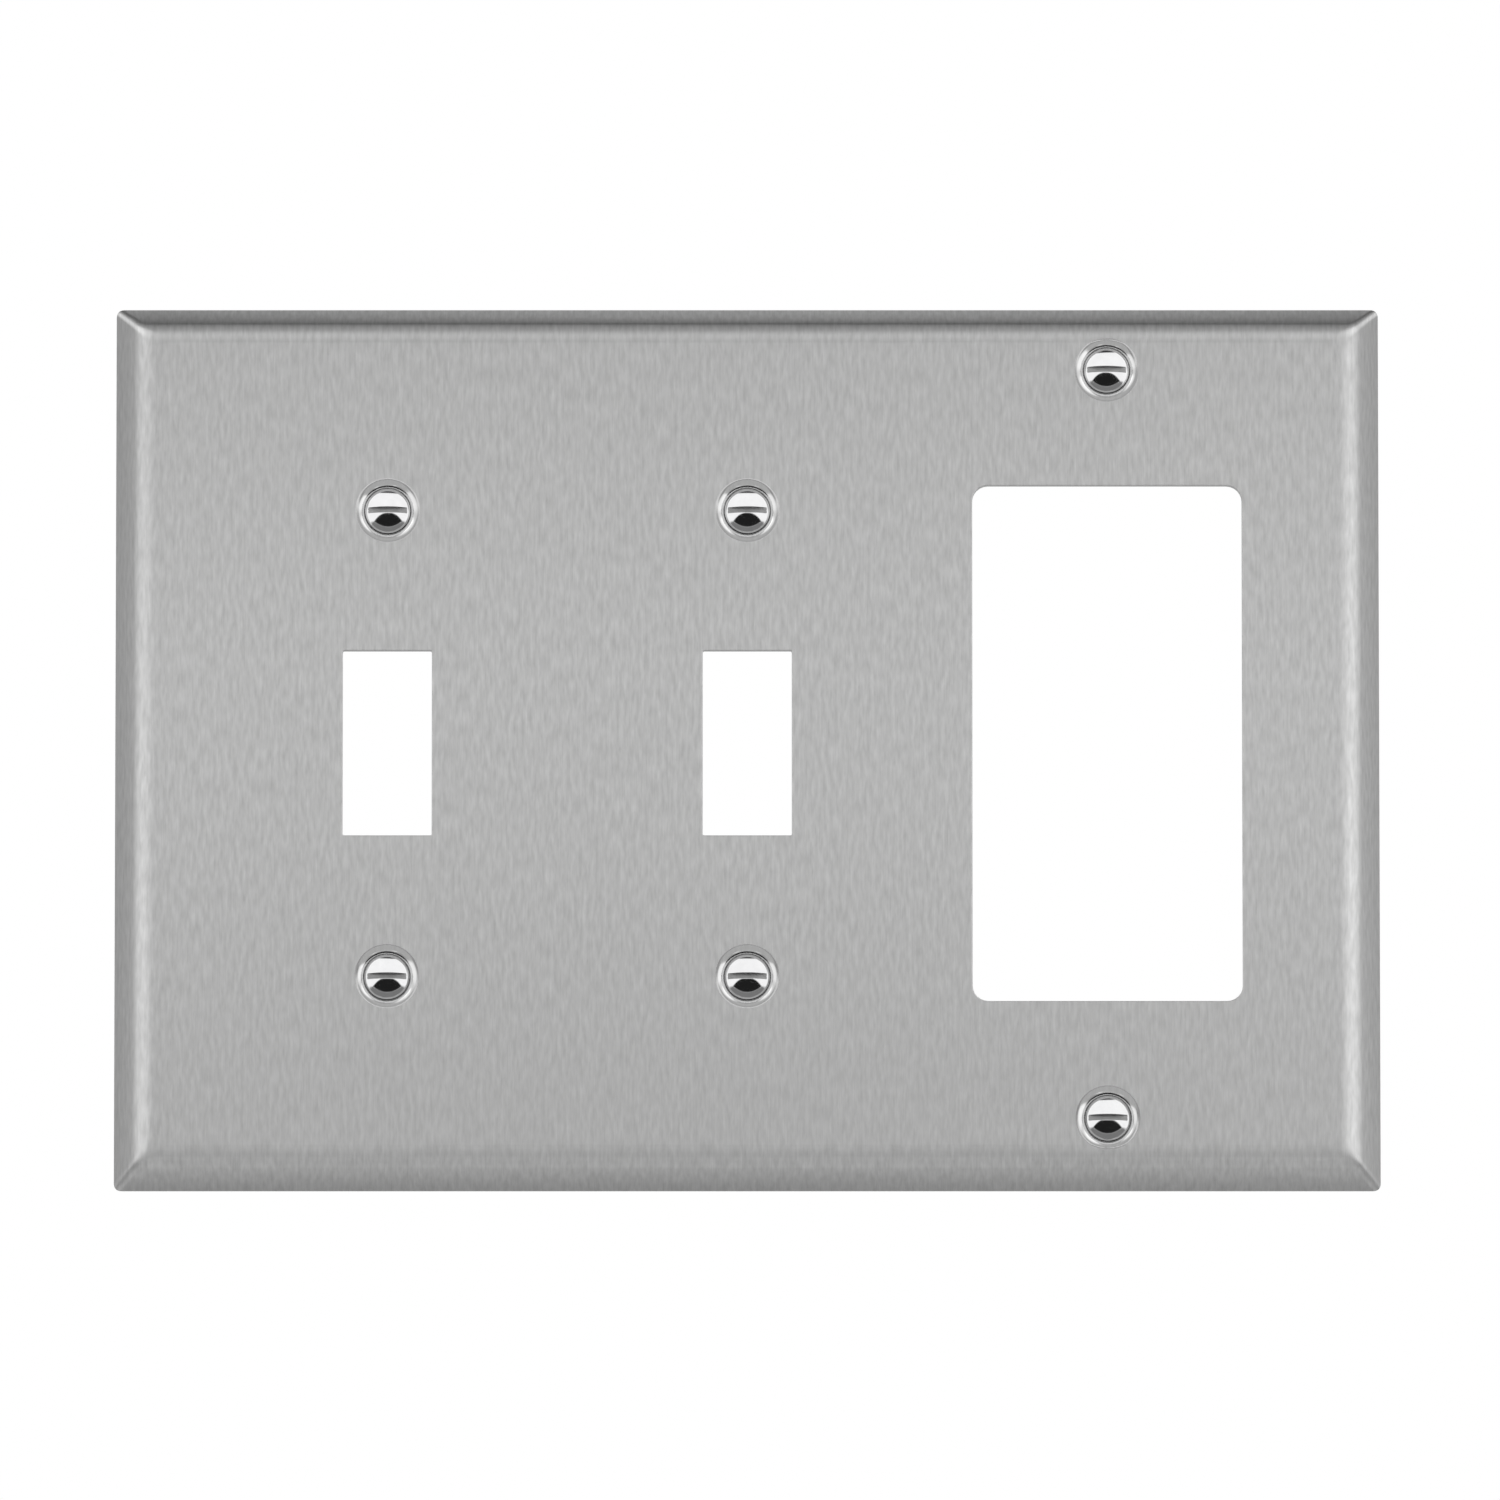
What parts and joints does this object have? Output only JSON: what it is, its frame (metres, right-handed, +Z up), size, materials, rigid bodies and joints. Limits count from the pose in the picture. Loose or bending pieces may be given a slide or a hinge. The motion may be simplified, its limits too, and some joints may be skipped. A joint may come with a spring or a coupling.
{
  "type": "wall plate cover",
  "caption": "Stamped stainless steel wall plate that covers two toggle switches and one rocker device, held by slotted oval-head screws.",
  "frame": {"origin": "centre of the plate in the wall plane, which is the plane of its back rim", "axes": "+X across the plate to the right as it is looked at on the wall, +Y into the wall, +Z up; the face looks towards -Y"},
  "size_m": [0.162, 0.014, 0.1142],
  "materials": {
    "brushed_plate": "stainless steel sheet with a fine vertical brushed grain on the face and a plain mill finish behind",
    "screw_metal": "bright polished nickel-chrome plating"
  },
  "bodies": {
    "plate": {"cover_plate": "brushed_plate"},
    "toggle_1_top_screw": {"screw_toggle_1_top": "screw_metal"},
    "toggle_1_bottom_screw": {"screw_toggle_1_bottom": "screw_metal"},
    "toggle_2_top_screw": {"screw_toggle_2_top": "screw_metal"},
    "toggle_2_bottom_screw": {"screw_toggle_2_bottom": "screw_metal"},
    "rocker_top_screw": {"screw_rocker_top": "screw_metal"},
    "rocker_bottom_screw": {"screw_rocker_bottom": "screw_metal"}
  },
  "joints": [
    {"name": "toggle_1_top_backs_out", "type": "slide", "parent": "plate", "child": "toggle_1_top_screw", "axis": [0, -1, 0], "range_m": [0, 0.015]},
    {"name": "toggle_1_bottom_backs_out", "type": "slide", "parent": "plate", "child": "toggle_1_bottom_screw", "axis": [0, -1, 0], "range_m": [0, 0.015]},
    {"name": "toggle_2_top_backs_out", "type": "slide", "parent": "plate", "child": "toggle_2_top_screw", "axis": [0, -1, 0], "range_m": [0, 0.015]},
    {"name": "toggle_2_bottom_backs_out", "type": "slide", "parent": "plate", "child": "toggle_2_bottom_screw", "axis": [0, -1, 0], "range_m": [0, 0.015]},
    {"name": "rocker_top_backs_out", "type": "slide", "parent": "plate", "child": "rocker_top_screw", "axis": [0, -1, 0], "range_m": [0, 0.015]},
    {"name": "rocker_bottom_backs_out", "type": "slide", "parent": "plate", "child": "rocker_bottom_screw", "axis": [0, -1, 0], "range_m": [0, 0.015]}
  ]
}
